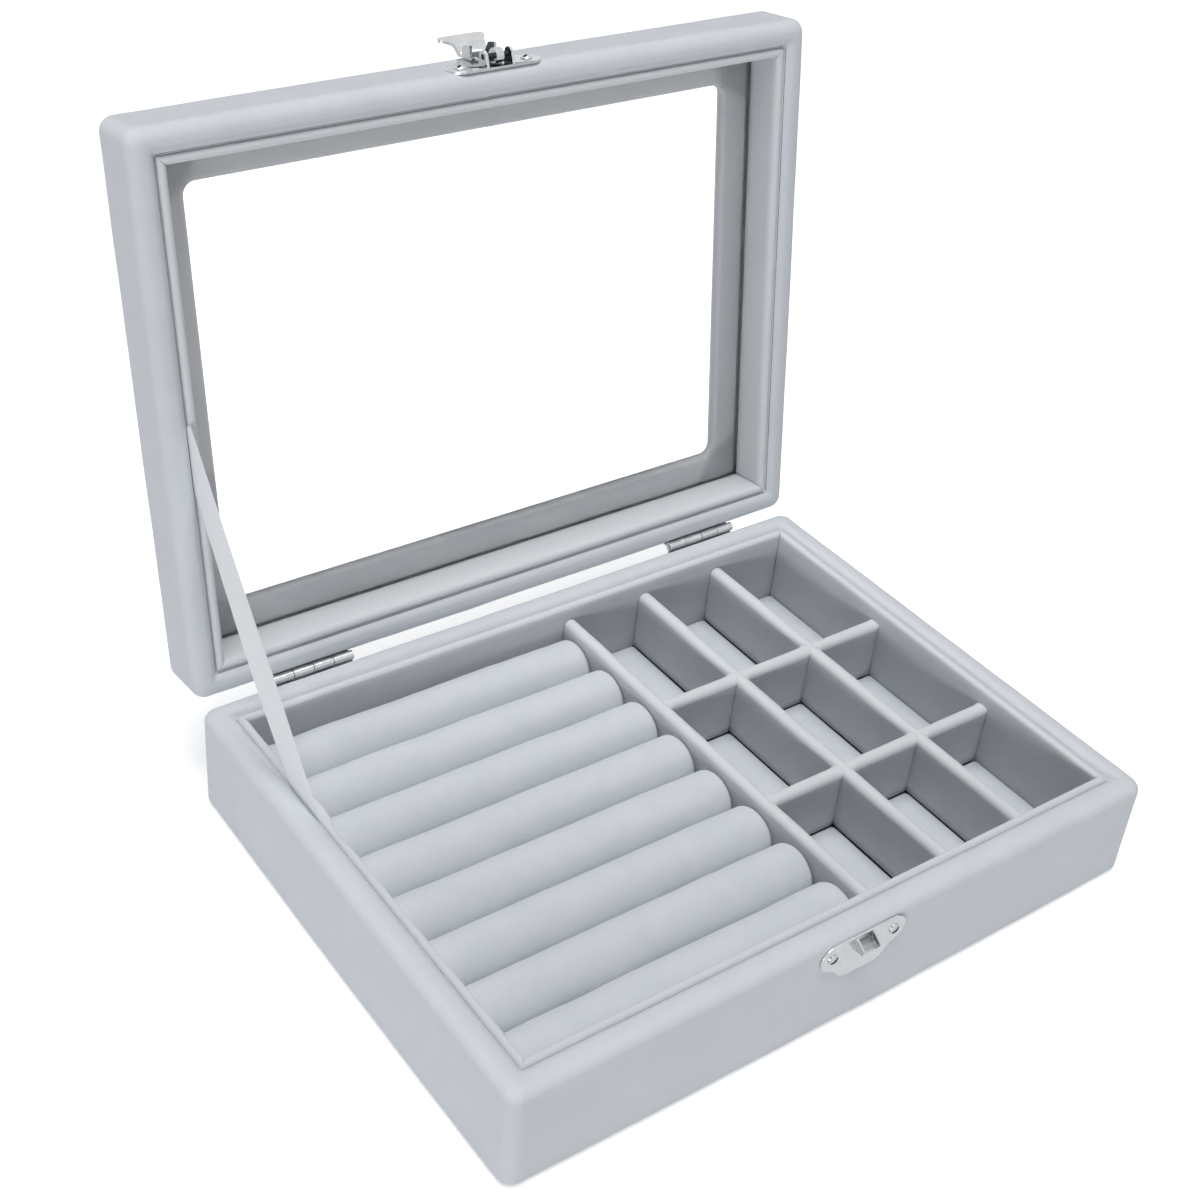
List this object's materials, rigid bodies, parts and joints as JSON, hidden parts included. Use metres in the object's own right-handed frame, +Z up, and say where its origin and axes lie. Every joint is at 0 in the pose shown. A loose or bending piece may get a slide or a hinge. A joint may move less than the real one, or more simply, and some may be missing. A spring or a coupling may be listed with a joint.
{
  "type": "ring display box",
  "caption": "Velvet covered ring display box standing open, with a glass window in its hinged lid, padded ring rolls, small cells, a ribbon stay and a metal clasp",
  "frame": {"origin": "middle of the underside, on the surface that the box stands on", "axes": "+X to the right along the front, +Y to the back where the hinges are, +Z up"},
  "size_m": [0.2, 0.1969, 0.1845],
  "materials": {
    "board": "matte grey board",
    "velvet": "short pile light grey velvet",
    "under_sheet": "matte paper",
    "silver_metal": "bright nickel plate",
    "glass": "clear float glass",
    "ribbon": "satin ribbon"
  },
  "bodies": {
    "base": {"base_front_board": "board", "base_right_board": "board", "base_back_board": "board", "base_left_board": "board", "base_velvet": "velvet", "base_bottom_board": "board", "base_under_sheet": "under_sheet", "base_front_lining": "velvet", "base_right_lining": "velvet", "base_back_lining": "velvet", "base_left_lining": "velvet", "roll_card": "board", "ring_roll_1": "velvet", "ring_roll_2": "velvet", "ring_roll_3": "velvet", "ring_roll_4": "velvet", "ring_roll_5": "velvet", "ring_roll_6": "velvet", "ring_roll_7": "velvet", "ring_roll_8": "velvet", "main_divider": "velvet", "cell_floor_pad": "velvet", "cell_divider_left": "velvet", "cell_divider_right": "velvet", "cell_divider_front": "velvet", "cell_divider_back": "velvet", "catch_plate": "silver_metal", "catch_screws": "silver_metal", "left_hinge_base_leaf": "silver_metal", "right_hinge_base_leaf": "silver_metal", "left_hinge_pin": "silver_metal", "right_hinge_pin": "silver_metal", "hinge_base_screws": "silver_metal", "ribbon_stay": "ribbon"},
    "lid": {"lid_front_board": "board", "lid_right_board": "board", "lid_back_board": "board", "lid_left_board": "board", "lid_velvet": "velvet", "window_board": "velvet", "glass_pane": "glass", "lid_front_lining": "velvet", "lid_right_lining": "velvet", "lid_back_lining": "velvet", "lid_left_lining": "velvet", "left_hinge_lid_leaf": "silver_metal", "right_hinge_lid_leaf": "silver_metal", "hinge_lid_screws": "silver_metal", "clasp_lid_plate": "silver_metal", "clasp_lid_screws": "silver_metal", "clasp_pin": "silver_metal"},
    "tongue": {"clasp_tongue": "silver_metal"}
  },
  "joints": [
    {"name": "lid_hinge", "type": "hinge", "parent": "base", "child": "lid", "pos_m": [0, 0.0754, 0.0312], "axis": [1, 0, 0], "range_deg": [0, 98], "deforming": ["ribbon_stay"]},
    {"name": "clasp_hinge", "type": "hinge", "parent": "lid", "child": "tongue", "pos_m": [0, 0.10011, 0.18258], "axis": [1, 0, 0], "range_deg": [0, 180]}
  ]
}
